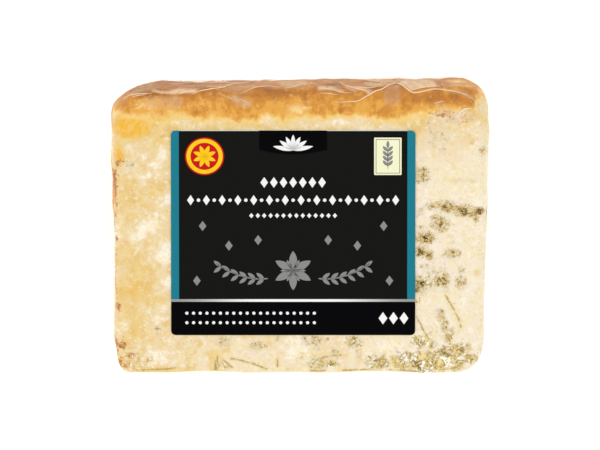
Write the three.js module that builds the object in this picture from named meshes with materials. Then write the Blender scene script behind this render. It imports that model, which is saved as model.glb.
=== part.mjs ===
// A wedge of blue cheese, cut from a drum-shaped wheel and wrapped tight in clear film, with a
// paper label on its upper cut face.
//
// Millimetres, +Z up. The wedge lies on its lower cut face, which is the plane Z = 0. X runs along
// the wheel's axis, from the wheel's crusted end at -X to the fresh cut across the wheel at +X. Y runs
// outwards, from the wedge's thin edge at -Y to the rind at +Y. The origin is the middle of the
// box round the wedge, on the resting face.
//
// The wrapped wedge is one solid, the outside of the film. It is swept along X from one
// cross-section: a sector of the wheel with rounded corners. "along" is a distance in X, "around" is
// a distance along the section's outline from where the upper cut face turns into the rind.

import * as THREE from 'three';
import { ImprovedNoise } from 'three/addons/math/ImprovedNoise.js';

// Driving sizes.
const WHEEL_RADIUS = 104;
const WEDGE_DEGREES = 37.5;
const END_FLARE = 0.02; // how much further out each end stands for a millimetre nearer the rind
const THIN_EDGE_ROUND = 1.72;
const UPPER_RIND_ROUND = 7;
const LOWER_RIND_ROUND = 4.5;

// The ends. Each stands out to its reach from X = 0, measured over the label's middle. It rounds over,
// so its outline draws in by some distance over some length in X.
const FACE_ROUND = { length: 3, drawIn: 3 }; // along the middle of the flat faces, at both ends
const CRUST_END = {
  side: -1,
  reach: 63.3,
  thinEdgeRound: { length: 4, drawIn: 5.2 },
  rindRound: { length: 16, drawIn: 12 },
};
const CUT_END = {
  side: 1,
  reach: 64,
  thinEdgeRound: { length: 9, drawIn: 9 },
  rindRound: { length: 10, drawIn: 11 },
};
const PIECE_LENGTH = CRUST_END.reach + CUT_END.reach; // half the height of a wheel
const CORNER_REACH = 20; // how far from a corner of the section its rounding still shows

// The label, centred a little towards the crusted end.
const LABEL = { width: 83.7, height: 72.9, thickness: 0.3, corner: 1.6, gap: 0.3 };
const LABEL_ALONG = -2;
const LABEL_FROM_AXIS = 53.7; // the wheel's axis to the label's middle, over the cut face
const LABEL_MARGIN = 3; // the film stays flat this far round the label

// The mesh: how far apart its points stand.
const REST_STEP = 8;
const RIND_STEP = 2.6;
const FACE_STEP = 3.5;
const ALONG_STEP = 2.9;
const LEAST_ARC_STEPS = 4;
const ROUND_RINGS = 4;
const CAP_RINGS = 7;
const CAP_CLOSES_AT = 0.96; // of the way to the section's middle line

// Heights of the relief.
const CREASE_HALF_WIDTH = 3;
const RIND_BUMPS = { size: 15, height: 0.6, seed: 3 };
const RIND_PITS = { size: 5.5, height: 0.35, seed: 7 };
const CRUST_BUMPS = { size: 14, height: 0.8, seed: 11 };
const CUT_END_WAVES = { size: 18, height: 0.4, seed: 13 };
const CRUMB_BUMPS = { size: 4, height: 0.6, seed: 17 };
const THIN_EDGE_WAVES = { size: 22, height: 0.8, seed: 19 };
const RIND_SWELLS_TO_CUT_END = 1.6; // the rind stands this much prouder at +X than at -X

// Where each kind of relief fades in, as [none, full]: by distance along X or from the wheel's axis,
// or by the share of the surface's normal that points in one direction.
const FADE_IN = {
  restTurn: [0.5, 0.9],
  endTurn: [0.4, 0.9],
  rindTurn: [0.3, 0.9],
  rindFromAxis: [60, 95],
  creaseFromAxis: [80, 95],
  upperFaceTurn: [0.2, 0.8],
  crumbAlong: [10, 45],
  crumbFromAxis: [34, 14],
  thinEdgeFromAxis: [30, 6],
};

// Ridges where the film is gathered over the rind, as [along, around] points with a height each.
const CREASES = [
  { height: 0.6, route: [[-58, 9], [-47, 10], [-34, 8], [-24, 13], [-17, 25], [-8, 40]] },
  { height: 0.5, route: [[-15, 10], [-8, 14], [4, 13], [20, 20], [34, 34]] },
  { height: 0.8, route: [[10, 3], [20, 5], [26, 7], [31, 14], [34, 16], [39, 8], [50, 9], [58, 8]] },
  { height: 0.5, route: [[7, 11], [18, 9], [26, 7]] },
  { height: 0.6, route: [[17, 27], [25, 17], [34, 16], [44, 26], [57, 30]] },
  { height: 0.6, route: [[52, -3], [56, 0], [58, 5], [60, 16]] },
  { height: 0.8, route: [[-59, 20], [-40, 30], [-12, 46], [22, 50], [57, 58]] },
  { height: 0.7, route: [[-58, 48], [-30, 56], [-4, 58], [22, 60], [50, 46]] },
];

// Ridges where the film is folded over each end, as [Y, Z] points from the wheel's axis: a fold from
// each corner of the rind, the seam where they meet, and a pleat.
const END_FOLDS = [
  { height: 0.8, route: [[78, 58], [66, 38], [55, 18.7]] },
  { height: 0.8, route: [[99, 4], [76, 10], [55, 18.7]] },
  { height: 0.7, route: [[70, 23.8], [14, 4.8]] },
  { height: 0.5, route: [[93, 42], [80, 30], [70, 23.8]] },
];

const wedgeAngle = THREE.MathUtils.degToRad(WEDGE_DEGREES);
const bisector = new THREE.Vector2(Math.cos(wedgeAngle / 2), Math.sin(wedgeAngle / 2));
const upperFaceOut = new THREE.Vector3(0, -Math.sin(wedgeAngle), Math.cos(wedgeAngle));
const perlin = new ImprovedNoise();

// 0 at the first value of a range and beyond it, 1 at the second, and smooth in between.
function fade(value, [none, full]) {
  return THREE.MathUtils.smoothstep((value - none) / (full - none), 0, 1);
}

// The height of one kind of bumps at a point.
function bumps(point, { size, height, seed }) {
  const at = point.clone().divideScalar(size).addScalar(seed);
  return height * perlin.noise(at.x, at.y, at.z);
}

// A polar point of the wheel's cross-section, as a 2D vector (y, z).
function polar(radius, angle) {
  return new THREE.Vector2(radius * Math.cos(angle), radius * Math.sin(angle));
}

// Where a round of the given radius touches the straight face beside the rind, from the axis.
function roundReach(radius) {
  return Math.sqrt((WHEEL_RADIUS - radius) ** 2 - radius ** 2);
}

// Where the thin edge's round touches both faces, from the axis.
const thinEdgeReach = THIN_EDGE_ROUND / Math.tan(wedgeAngle / 2);

function arcPoints(centre, radius, from, to, step) {
  const count = Math.max(LEAST_ARC_STEPS, Math.ceil((radius * (to - from)) / step));
  return Array.from({ length: count }, (_, i) =>
    polar(radius, from + ((to - from) * i) / count).add(centre));
}

function linePoints(from, to, step) {
  const count = Math.ceil(from.distanceTo(to) / step);
  return Array.from({ length: count }, (_, i) => from.clone().lerp(to, i / count));
}

// The cross-section's outline, anticlockwise in (y, z) from the thin edge along the resting face. Each
// point is { at, around, corner }, where corner goes from 0 on the flat faces to 1 at the thin edge
// and the rind.
function sectionOutline() {
  const lowerTurn = Math.asin(LOWER_RIND_ROUND / (WHEEL_RADIUS - LOWER_RIND_ROUND));
  const upperTurn = Math.asin(UPPER_RIND_ROUND / (WHEEL_RADIUS - UPPER_RIND_ROUND));
  const lowerCentre = polar(WHEEL_RADIUS - LOWER_RIND_ROUND, lowerTurn);
  const upperCentre = polar(WHEEL_RADIUS - UPPER_RIND_ROUND, wedgeAngle - upperTurn);
  const thinCentre = polar(THIN_EDGE_ROUND / Math.sin(wedgeAngle / 2), wedgeAngle / 2);
  const faceTurnsAt = polar(roundReach(UPPER_RIND_ROUND), wedgeAngle);
  const quarter = Math.PI / 2;
  const stretches = [
    linePoints(polar(thinEdgeReach, 0), polar(roundReach(LOWER_RIND_ROUND), 0), REST_STEP),
    arcPoints(lowerCentre, LOWER_RIND_ROUND, -quarter, lowerTurn, RIND_STEP),
    arcPoints(new THREE.Vector2(), WHEEL_RADIUS, lowerTurn, wedgeAngle - upperTurn, RIND_STEP),
    arcPoints(upperCentre, UPPER_RIND_ROUND, wedgeAngle - upperTurn, wedgeAngle + quarter, RIND_STEP),
    linePoints(faceTurnsAt, polar(thinEdgeReach, wedgeAngle), FACE_STEP),
    arcPoints(thinCentre, THIN_EDGE_ROUND, wedgeAngle + quarter, 3 * quarter, RIND_STEP),
  ];
  const pointsBeforeFace = stretches.slice(0, 4).reduce((sum, stretch) => sum + stretch.length, 0);
  const points = stretches.flat();
  const lengths = [0];
  for (let i = 1; i < points.length; i++)
    lengths.push(lengths[i - 1] + points[i].distanceTo(points[i - 1]));
  return points.map((at, i) => {
    const fromAxis = at.length();
    const toCorner = Math.min(fromAxis - thinEdgeReach / 2, WHEEL_RADIUS - fromAxis);
    return {
      at,
      around: lengths[pointsBeforeFace] - lengths[i],
      corner: 1 - THREE.MathUtils.smoothstep(toCorner, 0, CORNER_REACH),
    };
  });
}

// The nearest point of the section's middle line, towards which the ends draw in.
const MIDDLE_LINE = { from: 36, to: WHEEL_RADIUS - 30 };
function middleOf(at) {
  const distance = THREE.MathUtils.clamp(at.dot(bisector), MIDDLE_LINE.from, MIDDLE_LINE.to);
  return bisector.clone().multiplyScalar(distance);
}

// How one outline point rounds over into an end: its length in X and the share by which it draws in.
function endRound(point, end) {
  const nearRind = THREE.MathUtils.smoothstep(point.at.length(), MIDDLE_LINE.from, MIDDLE_LINE.to);
  const size = (of) => {
    const atCorner = THREE.MathUtils.lerp(end.thinEdgeRound[of], end.rindRound[of], nearRind);
    return THREE.MathUtils.lerp(FACE_ROUND[of], atCorner, point.corner);
  };
  return { length: size('length'), share: size('drawIn') / point.at.distanceTo(middleOf(point.at)) };
}

// The rings of one end, from where its rounding starts to its innermost cap ring: each is a function
// from an outline point to its place.
function endRings(end) {
  const place = (point, short, share) => {
    const drawn = point.at.clone().lerp(middleOf(point.at), share);
    const reach = end.reach + END_FLARE * (drawn.length() - LABEL_FROM_AXIS);
    return new THREE.Vector3(end.side * (reach - short), drawn.x, drawn.y);
  };
  const rounding = Array.from({ length: ROUND_RINGS + 1 }, (_, i) => (point) => {
    const turn = (Math.PI / 2) * (i / ROUND_RINGS);
    const { length, share } = endRound(point, end);
    return place(point, length * (1 - Math.sin(turn)), share * (1 - Math.cos(turn)));
  });
  const cap = Array.from({ length: CAP_RINGS }, (_, i) => (point) => {
    const { share } = endRound(point, end);
    return place(point, 0, THREE.MathUtils.lerp(share, CAP_CLOSES_AT, (i + 1) / CAP_RINGS));
  });
  return [...rounding, ...cap];
}

// The rings of the whole wedge, from the middle of one cap to the middle of the other.
function allRings() {
  const crust = endRings(CRUST_END);
  const cut = endRings(CUT_END);
  const rounds = CRUST_END.rindRound.length + CUT_END.rindRound.length;
  const count = Math.round((PIECE_LENGTH - rounds) / ALONG_STEP);
  const body = Array.from({ length: count - 1 }, (_, i) => (point) =>
    crust[0](point).lerp(cut[0](point), (i + 1) / count));
  return [...crust.toReversed(), ...body, ...cut];
}

// Triangles that join neighbouring rings of outline points, and close the first and the last ring.
function skin(ringCount, outline) {
  const size = outline.length;
  const faces = [];
  for (let ring = 0; ring < ringCount - 1; ring++)
    for (let j = 0; j < size; j++) {
      const here = ring * size + j;
      const next = ring * size + ((j + 1) % size);
      faces.push(here, next, here + size, next, next + size, here + size);
    }
  const lastRing = (ringCount - 1) * size;
  const closing = outline.map(({ at }) => at.clone().lerp(middleOf(at), CAP_CLOSES_AT));
  for (const [a, b, c] of THREE.ShapeUtils.triangulateShape(closing, []))
    faces.push(c, b, a, lastRing + a, lastRing + b, lastRing + c);
  return faces;
}

// The height of the highest of some ridges at a 2D place. Each ridge follows a route of 2D points.
function ridgesAt(u, v, ridges) {
  const place = new THREE.Vector3(u, v, 0);
  const nearest = new THREE.Vector3();
  const heights = ridges.map(({ route, height }) => {
    const distances = route.slice(1).map((to, i) => {
      const line = new THREE.Line3(new THREE.Vector3(...route[i], 0), new THREE.Vector3(...to, 0));
      return line.closestPointToPoint(place, true, nearest).distanceTo(place);
    });
    return height * Math.max(0, 1 - Math.min(...distances) / CREASE_HALF_WIDTH);
  });
  return Math.max(...heights);
}

// 0 on the resting face and under the label, which stay flat, and 1 clear of them.
function freeToRise(place, out, around) {
  const clearOfRest = 1 - fade(-out.z, FADE_IN.restTurn);
  const fromAxis = Math.hypot(place.y, place.z);
  const past = Math.max(
    Math.abs(place.x - LABEL_ALONG) - LABEL.width / 2,
    Math.abs(fromAxis - LABEL_FROM_AXIS) - LABEL.height / 2,
  );
  const besideRind = around < 0 && out.dot(upperFaceOut) > 0;
  return clearOfRest * (besideRind ? fade(past, [LABEL_MARGIN, 2 * LABEL_MARGIN]) : 1);
}

// How far the film's surface stands off the plain rounded wedge at one vertex, in its normal's
// direction: bumps of the rind and the crust, ridges of gathered film and crumbled curds.
function relief(place, out, around) {
  const fromAxis = Math.hypot(place.y, place.z);
  const rindTurn = (out.y * place.y + out.z * place.z) / fromAxis;
  const onRind = fade(rindTurn, FADE_IN.rindTurn) * fade(fromAxis, FADE_IN.rindFromAxis);
  const onCrustEnd = fade(CRUST_END.side * out.x, FADE_IN.endTurn);
  const onCutEnd = fade(CUT_END.side * out.x, FADE_IN.endTurn);
  const onEnds = onCrustEnd + onCutEnd;
  const crumbly = fade(out.dot(upperFaceOut), FADE_IN.upperFaceTurn)
    * fade(place.x, FADE_IN.crumbAlong) * fade(fromAxis, FADE_IN.crumbFromAxis);
  const rindSwell = (place.x / PIECE_LENGTH) * RIND_SWELLS_TO_CUT_END;
  return onRind * (bumps(place, RIND_BUMPS) + bumps(place, RIND_PITS) + rindSwell)
    + fade(fromAxis, FADE_IN.creaseFromAxis) * (1 - onEnds) * ridgesAt(place.x, around, CREASES)
    + onEnds * ridgesAt(place.y, place.z, END_FOLDS)
    + onCrustEnd * bumps(place, CRUST_BUMPS)
    + onCutEnd * bumps(place, CUT_END_WAVES)
    + crumbly * bumps(place, CRUMB_BUMPS)
    + fade(fromAxis, FADE_IN.thinEdgeFromAxis) * bumps(place, THIN_EDGE_WAVES);
}

function wrappedWedgeGeometry() {
  const outline = sectionOutline();
  const rings = allRings();
  const places = rings.flatMap((ring) => outline.map((point) => ring(point)));
  const arounds = rings.flatMap(() => outline.map(({ around }) => around));
  const plain = new THREE.BufferGeometry().setFromPoints(places);
  plain.setIndex(skin(rings.length, outline));
  plain.computeVertexNormals();
  const normals = plain.getAttribute('normal');
  const raised = places.map((place, i) => {
    const out = new THREE.Vector3().fromBufferAttribute(normals, i);
    const rise = relief(place, out, arounds[i]) * freeToRise(place, out, arounds[i]);
    const moved = place.clone().addScaledVector(out, rise);
    moved.z = Math.max(moved.z, 0);
    return moved;
  });
  return plain.setFromPoints(raised);
}

function labelGeometry() {
  const { width, height, corner, thickness } = LABEL;
  const [x, y] = [width / 2, height / 2];
  const shape = new THREE.Shape()
    .moveTo(-x + corner, -y)
    .lineTo(x - corner, -y)
    .absarc(x - corner, -y + corner, corner, -Math.PI / 2, 0)
    .lineTo(x, y - corner)
    .absarc(x - corner, y - corner, corner, 0, Math.PI / 2)
    .lineTo(-x + corner, y)
    .absarc(-x + corner, y - corner, corner, Math.PI / 2, Math.PI)
    .lineTo(-x, -y + corner)
    .absarc(-x + corner, -y + corner, corner, Math.PI, 1.5 * Math.PI);
  return new THREE.ExtrudeGeometry(shape, { depth: thickness, bevelEnabled: false, curveSegments: 4 });
}

function wrappedWedge() {
  const filmAndCheese = new THREE.MeshStandardMaterial({ color: 0xefd9a8, roughness: 0.3, metalness: 0 });
  const mesh = new THREE.Mesh(wrappedWedgeGeometry(), filmAndCheese);
  mesh.name = 'wrapped_wedge';
  return mesh;
}

function label() {
  const print = new THREE.MeshStandardMaterial({ color: 0x1a1a18, roughness: 0.45, metalness: 0 });
  const mesh = new THREE.Mesh(labelGeometry(), print);
  const middle = polar(LABEL_FROM_AXIS, wedgeAngle);
  mesh.name = 'label';
  mesh.rotation.x = wedgeAngle;
  mesh.position.set(LABEL_ALONG, middle.x, middle.y).addScaledVector(upperFaceOut, LABEL.gap);
  return mesh;
}

// Both pieces stand in the wheel's frame, with its axis along X, and move together to the part's.
const wedge = new THREE.Group();
wedge.add(wrappedWedge(), label());
const box = new THREE.Box3().setFromObject(wedge);
const middle = box.getCenter(new THREE.Vector3());
wedge.position.set(-middle.x, -middle.y, -box.min.z);

export default wedge;
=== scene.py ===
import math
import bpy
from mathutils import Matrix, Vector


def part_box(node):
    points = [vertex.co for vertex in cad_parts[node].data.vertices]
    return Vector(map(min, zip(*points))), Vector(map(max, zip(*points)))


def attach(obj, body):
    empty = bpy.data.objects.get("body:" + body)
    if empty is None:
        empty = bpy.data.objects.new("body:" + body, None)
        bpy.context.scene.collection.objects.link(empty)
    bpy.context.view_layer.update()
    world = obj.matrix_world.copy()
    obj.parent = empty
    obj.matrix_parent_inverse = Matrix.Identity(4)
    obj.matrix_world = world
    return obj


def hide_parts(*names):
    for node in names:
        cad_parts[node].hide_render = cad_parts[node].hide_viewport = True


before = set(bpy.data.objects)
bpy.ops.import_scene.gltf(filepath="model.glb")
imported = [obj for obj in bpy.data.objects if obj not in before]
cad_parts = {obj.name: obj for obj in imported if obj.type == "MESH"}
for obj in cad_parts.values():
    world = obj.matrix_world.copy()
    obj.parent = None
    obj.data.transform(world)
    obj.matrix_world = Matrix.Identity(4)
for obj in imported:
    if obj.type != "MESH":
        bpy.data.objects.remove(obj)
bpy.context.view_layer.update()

# The looks of a wedge of blue cheese in clear film with a label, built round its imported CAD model.
#
# Lengths are millimetres in the wheel's frame until to_part() makes them metres in the part's. The
# axis of the whole cheese wheel is X, the wedge's lower cut face is Z = 0, and its upper cut face rises
# from the thin edge to the rind at WEDGE_ANGLE. The wheel's crusted end is at -X, and the fresh cut across
# the wheel at +X. "around" is measured on the section's outline from where the upper face turns into
# the rind, positive over the rind.

from types import SimpleNamespace

import bpy
import numpy as np
from mathutils import Vector, noise
from mathutils.bvhtree import BVHTree
from mathutils.geometry import tessellate_polygon

# ------------------------------------------------------------------ sizes of the wedge

MM = 0.001
WHEEL_RADIUS = 104
WEDGE_ANGLE = math.radians(37.5)
END_FLARE = 0.02  # how much further out each end stands for a millimetre nearer the rind
THIN_EDGE_ROUND = 1.72
UPPER_RIND_ROUND = 7
LOWER_RIND_ROUND = 4.5

# Each end stands out to its reach, and rounds over by [length in X, distance drawn in].
FACE_ROUND = (3, 3)
CRUST_END = SimpleNamespace(side=-1, reach=63.3, thin_edge_round=(4, 5.2), rind_round=(16, 12))
CUT_END = SimpleNamespace(side=1, reach=64, thin_edge_round=(9, 9), rind_round=(10, 11))
PIECE_LENGTH = CRUST_END.reach + CUT_END.reach
CORNER_REACH = 20  # from the thin edge and from the rind, an end's rounding turns into the faces' over this
MIDDLE_LINE = (36, WHEEL_RADIUS - 30)  # where the ends draw in to, along the section's bisector

LABEL_WIDTH = 83.7
LABEL_HEIGHT = 72.9
LABEL_CORNER = 1.6
LABEL_ALONG = -2
LABEL_FROM_AXIS = 53.7
LABEL_GAP = 0.3  # between the plain upper face and the CAD model's label
LABEL_THICKNESS = 0.3
LABEL_MARGIN = 3  # the film stays flat this far round the label

CHEESE_UNDER_FILM = 0.15
RIND_FOLLOWS_GATHERS = 0.6  # the share of the film's gathers that the soft rind has taken on

# How far apart a mesh's points stand on each stretch of the section, and along X.
SHOULDER = 5  # this much of the rind beside its upper round has the shoulder's step
FILM_STEPS = SimpleNamespace(rest=8, rind=0.9, shoulder=0.3, face=0.9, along=0.55, rounds=12, caps=22)
CHEESE_STEPS = SimpleNamespace(rest=3, rind=0.9, shoulder=0.42, face=0.6, along=0.58, rounds=10, caps=26)
CAP_CLOSES_AT = 0.96  # an end's rings go this share of the way to the middle line, and a polygon closes them
LEAST_ARC_STEPS = 6

OUT_OF_UPPER_FACE = np.array([0, -math.sin(WEDGE_ANGLE), math.cos(WEDGE_ANGLE)])
UP_THE_FACE = np.array([0, math.cos(WEDGE_ANGLE), math.sin(WEDGE_ANGLE)])
BISECTOR = np.array([math.cos(WEDGE_ANGLE / 2), math.sin(WEDGE_ANGLE / 2)])


def face_point(along, from_axis, height):
    """A point over the upper cut face, in the wheel's frame."""
    return np.array([along, 0, 0]) + from_axis * UP_THE_FACE + height * OUT_OF_UPPER_FACE


# The CAD label's middle ties the wheel's frame to the part's.
label_low, label_high = (np.array(corner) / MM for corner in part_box("label"))
LABEL_MIDDLE = face_point(LABEL_ALONG, LABEL_FROM_AXIS, LABEL_GAP + LABEL_THICKNESS / 2)
WHEEL_ORIGIN = (label_low + label_high) / 2 - LABEL_MIDDLE


def to_part(places):
    return (np.asarray(places) + WHEEL_ORIGIN) * MM


def new_mesh(name, vertices, faces, *materials):
    mesh = bpy.data.meshes.new(name)
    mesh.from_pydata([tuple(vertex) for vertex in vertices], [], faces)
    for material in materials:
        mesh.materials.append(material)
    return mesh


def link(mesh):
    """An object of the same name as its mesh, in the scene."""
    piece = bpy.data.objects.new(mesh.name, mesh)
    bpy.context.scene.collection.objects.link(piece)
    return piece


# ------------------------------------------------------------------ the rounded wedge, as a grid

def fade(value, span):
    """0 at the first value of a span and beyond it, 1 at the second, and smooth in between."""
    none, full = span
    share = np.clip((value - none) / (full - none), 0, 1)
    return share * share * (3 - 2 * share)


def lerp(start, stop, share):
    return start + (stop - start) * share


def polar(radius, angle):
    return radius * np.array([math.cos(angle), math.sin(angle)])


def arc(centre, radius, start, stop, step):
    count = max(LEAST_ARC_STEPS, math.ceil(radius * (stop - start) / step))
    angles = start + (stop - start) * np.arange(count) / count
    return centre + radius * np.column_stack([np.cos(angles), np.sin(angles)])


def line(start, stop, step):
    count = math.ceil(np.linalg.norm(stop - start) / step)
    return start + np.outer(np.arange(count) / count, stop - start)


def section_outline(steps):
    """The section's outline in (Y, Z), anticlockwise from the thin edge along the resting face."""
    lower_turn = math.asin(LOWER_RIND_ROUND / (WHEEL_RADIUS - LOWER_RIND_ROUND))
    upper_turn = math.asin(UPPER_RIND_ROUND / (WHEEL_RADIUS - UPPER_RIND_ROUND))
    lower_reach = (WHEEL_RADIUS - LOWER_RIND_ROUND) * math.cos(lower_turn)
    upper_reach = (WHEEL_RADIUS - UPPER_RIND_ROUND) * math.cos(upper_turn)
    thin_reach = THIN_EDGE_ROUND / math.tan(WEDGE_ANGLE / 2)
    thin_centre = THIN_EDGE_ROUND / math.sin(WEDGE_ANGLE / 2) * BISECTOR
    lower_centre = polar(WHEEL_RADIUS - LOWER_RIND_ROUND, lower_turn)
    upper_centre = polar(WHEEL_RADIUS - UPPER_RIND_ROUND, WEDGE_ANGLE - upper_turn)
    round_starts = WEDGE_ANGLE - upper_turn
    shoulder_starts = round_starts - SHOULDER / WHEEL_RADIUS
    quarter = math.pi / 2
    before_face = [
        line(polar(thin_reach, 0), polar(lower_reach, 0), steps.rest),
        arc(lower_centre, LOWER_RIND_ROUND, -quarter, lower_turn, steps.shoulder),
        arc(np.zeros(2), WHEEL_RADIUS, lower_turn, shoulder_starts, steps.rind),
        arc(np.zeros(2), WHEEL_RADIUS, shoulder_starts, round_starts, steps.shoulder),
        arc(upper_centre, UPPER_RIND_ROUND, round_starts, WEDGE_ANGLE + quarter, steps.shoulder),
    ]
    face_and_edge = [
        line(polar(upper_reach, WEDGE_ANGLE), polar(thin_reach, WEDGE_ANGLE), steps.face),
        arc(thin_centre, THIN_EDGE_ROUND, WEDGE_ANGLE + quarter, 3 * quarter, steps.shoulder),
    ]
    points = np.vstack(before_face + face_and_edge)
    gaps = np.linalg.norm(np.diff(points, axis=0), axis=1)
    lengths = np.concatenate([[0], np.cumsum(gaps)])
    around = lengths[sum(len(stretch) for stretch in before_face)] - lengths
    from_axis = np.linalg.norm(points, axis=1)
    to_corner = np.minimum(from_axis - thin_reach / 2, WHEEL_RADIUS - from_axis)
    corner = 1 - fade(to_corner, (0, CORNER_REACH))
    return points, around, corner


def end_rings(points, corner, end, steps):
    """The rings of one end: those of its rounding, then those that close it."""
    middle = np.outer(np.clip(points @ BISECTOR, *MIDDLE_LINE), BISECTOR)
    near_rind = fade(np.linalg.norm(points, axis=1), MIDDLE_LINE)
    length, draw_in = (
        lerp(face_size, lerp(thin_edge_size, rind_size, near_rind), corner)
        for face_size, thin_edge_size, rind_size in zip(FACE_ROUND, end.thin_edge_round, end.rind_round)
    )
    full_share = draw_in / np.linalg.norm(points - middle, axis=1)

    def place(short, share):
        drawn = lerp(points, middle, share[:, None])
        flare = END_FLARE * (np.linalg.norm(drawn, axis=1) - LABEL_FROM_AXIS)
        return np.column_stack([end.side * (end.reach + flare - short), drawn])

    turns = np.linspace(0, math.pi / 2, steps.rounds + 1)
    rounding = [place(length * (1 - math.sin(turn)), full_share * (1 - math.cos(turn))) for turn in turns]
    shares = np.arange(1, steps.caps + 1) / steps.caps
    cap = [place(0, lerp(full_share, CAP_CLOSES_AT, share)) for share in shares]
    return rounding + cap


def wedge_grid(name, steps):
    """A mesh of the plain rounded wedge, with each vertex's place, normal and distance around."""
    points, around, corner = section_outline(steps)
    crust = end_rings(points, corner, CRUST_END, steps)
    cut = end_rings(points, corner, CUT_END, steps)
    count = round((PIECE_LENGTH - CRUST_END.rind_round[0] - CUT_END.rind_round[0]) / steps.along)
    body = [lerp(crust[0], cut[0], i / count) for i in range(1, count)]
    rings = crust[::-1] + body + cut
    size = len(points)
    here = np.arange((len(rings) - 1) * size).reshape(-1, size)
    beside = np.roll(here, -1, axis=1)
    quads = np.stack([here, beside, beside + size, here + size], axis=-1).reshape(-1, 4).tolist()
    closing = tessellate_polygon([[Vector(point) for point in rings[-1]]])
    last = (len(rings) - 1) * size
    caps = [face for a, b, c in closing for face in ((c, b, a), (last + a, last + b, last + c))]
    at = np.vstack(rings)
    mesh = new_mesh(name, at, quads + caps)
    mesh.shade_smooth()
    out = np.empty(at.size)
    mesh.vertex_normals.foreach_get("vector", out)
    return SimpleNamespace(
        mesh=mesh,
        at=at,
        out=out.reshape(-1, 3),
        along=at[:, 0],
        from_axis=np.linalg.norm(at[:, 1:], axis=1),
        around=np.tile(around, len(rings)),
    )


def move_vertices(grid, rise, lowest):
    """Lifts each vertex along its normal, keeps it over a height, and goes to the part's frame."""
    moved = grid.at + grid.out * rise[:, None]
    moved[:, 2] = np.maximum(moved[:, 2], lowest)
    grid.mesh.vertices.foreach_set("co", to_part(moved).ravel())
    grid.mesh.update()


def set_attribute(grid, name, values):
    attribute = grid.mesh.attributes.new(name, "FLOAT", "POINT")
    attribute.data.foreach_set("value", values.astype(np.float32))


# ------------------------------------------------------------------ relief

RIND_BUMPS = SimpleNamespace(size=15, height=0.6, seed=3)
RIND_PITS = SimpleNamespace(size=5.5, height=0.35, seed=7)
CRUST_BUMPS = SimpleNamespace(size=14, height=0.8, seed=11)
CUT_END_WAVES = SimpleNamespace(size=18, height=0.4, seed=13)
CRUMB_BUMPS = SimpleNamespace(size=4, height=0.6, seed=17)
THIN_EDGE_WAVES = SimpleNamespace(size=22, height=0.8, seed=19)
RIND_SWELLS_TO_CUT_END = 1.6

CREASE_HALF_WIDTH = 3
CREASE_SHARPNESS = 1.4  # above 1, a crease's flanks are hollow
BACK_CREASES = [  # [along, around] points, down the rind behind the shoulder
    [(-59, 20), (-40, 30), (-12, 46), (22, 50), (57, 58)],
    [(-58, 48), (-30, 56), (-4, 58), (22, 60), (50, 46)],
]
CREASES = [  # [along, around] points with a height each, where the film is gathered over the rind
    (0.6, [(-58, 9), (-47, 10), (-34, 8), (-24, 13), (-17, 25), (-8, 40)]),
    (0.5, [(-15, 10), (-8, 14), (4, 13), (20, 20), (34, 34)]),
    (0.8, [(10, 3), (20, 5), (26, 7), (31, 14), (34, 16), (39, 8), (50, 9), (58, 8)]),
    (0.5, [(7, 11), (18, 9), (26, 7)]),
    (0.6, [(17, 27), (25, 17), (34, 16), (44, 26), (57, 30)]),
    (0.6, [(52, -3), (56, 0), (58, 5), (60, 16)]),
    (0.8, BACK_CREASES[0]),
    (0.7, BACK_CREASES[1]),
]
END_FOLDS = [  # [Y, Z] points with a height each, where the film is folded over both ends
    (0.8, [(78, 58), (66, 38), (55, 18.7)]),
    (0.8, [(99, 4), (76, 10), (55, 18.7)]),
    (0.7, [(70, 23.8), (14, 4.8)]),
    (0.5, [(93, 42), (80, 30), (70, 23.8)]),
]


def bumps(at, kind):
    """The height of one kind of bumps at each point."""
    places = (at / kind.size + kind.seed).tolist()
    return kind.height * np.array([noise.noise(place) for place in places])


def route_distance(u, v, route):
    """How far each 2D place is from a route of 2D points."""
    nearest = np.full(len(u), np.inf)
    for (u0, v0), (u1, v1) in zip(route, route[1:]):
        du, dv = u1 - u0, v1 - v0
        share = np.clip(((u - u0) * du + (v - v0) * dv) / (du * du + dv * dv), 0, 1)
        nearest = np.minimum(nearest, np.hypot(u - u0 - share * du, v - v0 - share * dv))
    return nearest


def ridges(u, v, routes):
    heights = [
        height * np.clip(1 - route_distance(u, v, route) / CREASE_HALF_WIDTH, 0, 1) ** CREASE_SHARPNESS
        for height, route in routes
    ]
    return np.max(heights, axis=0)


def regions(grid):
    """How far each vertex belongs to each part of the wedge's surface, from 0 to 1.

    The spans are of millimetres, or of the cosine between a normal and the direction that a part faces.
    """
    rind_turn = (grid.out[:, 1:] * grid.at[:, 1:]).sum(axis=1) / grid.from_axis
    crust_end = fade(-grid.out[:, 0], (0.4, 0.9))
    cut_end = fade(grid.out[:, 0], (0.4, 0.9))
    face_turn = grid.out @ OUT_OF_UPPER_FACE
    return SimpleNamespace(
        rind=fade(rind_turn, (0.3, 0.9)) * fade(grid.from_axis, (60, 95)),
        crust_end=crust_end,
        cut_end=cut_end,
        ends=crust_end + cut_end,
        upper_face=fade(face_turn, (0.2, 0.8)),
        over_thin_edge=fade(face_turn, (-0.1, 0.3)),
        beside_rind=(grid.around < 0) & (face_turn > 0),
        crumbly=fade(face_turn, (0.2, 0.8)) * fade(grid.along, (10, 45)) * fade(grid.from_axis, (34, 14)),
        thin_edge=fade(grid.from_axis, (30, 6)),
        off_rest=1 - fade(-grid.out[:, 2], (0.5, 0.9)),
    )


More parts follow.
